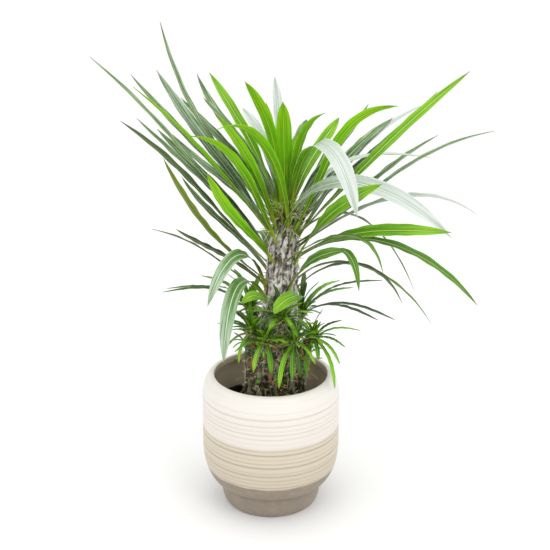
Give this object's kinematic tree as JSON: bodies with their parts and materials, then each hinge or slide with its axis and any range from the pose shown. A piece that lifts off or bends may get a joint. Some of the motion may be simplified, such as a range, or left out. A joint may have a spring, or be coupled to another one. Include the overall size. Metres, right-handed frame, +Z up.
{
  "type": "potted madagascar palm",
  "caption": "Spiny grey stem with a crown of long strap leaves and small leafy offsets, in a nursery pot inside a ringed three-tone ceramic pot. A houseplant for indoor scenes.",
  "frame": {"origin": "middle of the flat foot under the ceramic pot, where it stands", "axes": "+Z up, which is the plant's height; -Y towards the side the picture shows; +X to the right in it"},
  "size_m": [0.4624, 0.3305, 0.5901],
  "materials": {
    "glaze": "satin",
    "black_plastic": "satin",
    "soil": "matte",
    "bark": "matte",
    "leaf": "satin",
    "young_leaf": "satin",
    "offset": "satin"
  },
  "bodies": {
    "root": {"pot": "glaze", "nursery_pot": "black_plastic", "soil": "soil", "trunk": "bark", "growing_tip": "young_leaf", "offset_left": "offset", "offset_front_left": "offset", "offset_front_right": "offset", "offset_right": "offset", "offset_back_right": "offset", "offset_back_left": "offset", "offset_front": "offset", "leaf_01": "leaf", "leaf_02": "leaf", "leaf_03": "leaf", "leaf_04": "leaf", "leaf_05": "leaf", "leaf_06": "leaf", "leaf_07": "leaf", "leaf_08": "leaf", "leaf_09": "leaf", "leaf_10": "leaf", "leaf_11": "leaf", "leaf_12": "leaf", "leaf_13": "leaf", "leaf_14": "leaf", "leaf_15": "leaf", "leaf_16": "leaf", "leaf_17": "leaf", "leaf_18": "leaf", "leaf_19": "leaf", "leaf_20": "leaf", "leaf_21": "leaf", "leaf_22": "leaf", "leaf_23": "leaf", "leaf_24": "leaf", "leaf_25": "leaf", "leaf_26": "leaf", "leaf_27": "leaf", "leaf_28": "leaf", "leaf_29": "leaf", "leaf_30": "leaf", "leaf_31": "leaf", "leaf_32": "leaf", "leaf_33": "leaf", "leaf_34": "leaf", "leaf_35": "leaf", "leaf_36": "leaf", "leaf_37": "leaf", "leaf_38": "leaf", "leaf_39": "leaf", "leaf_40": "leaf", "leaf_41": "leaf", "leaf_42": "leaf", "leaf_43": "leaf", "leaf_44": "leaf", "leaf_45": "leaf", "leaf_46": "leaf", "leaf_47": "leaf", "leaf_48": "leaf"}
  },
  "joints": []
}
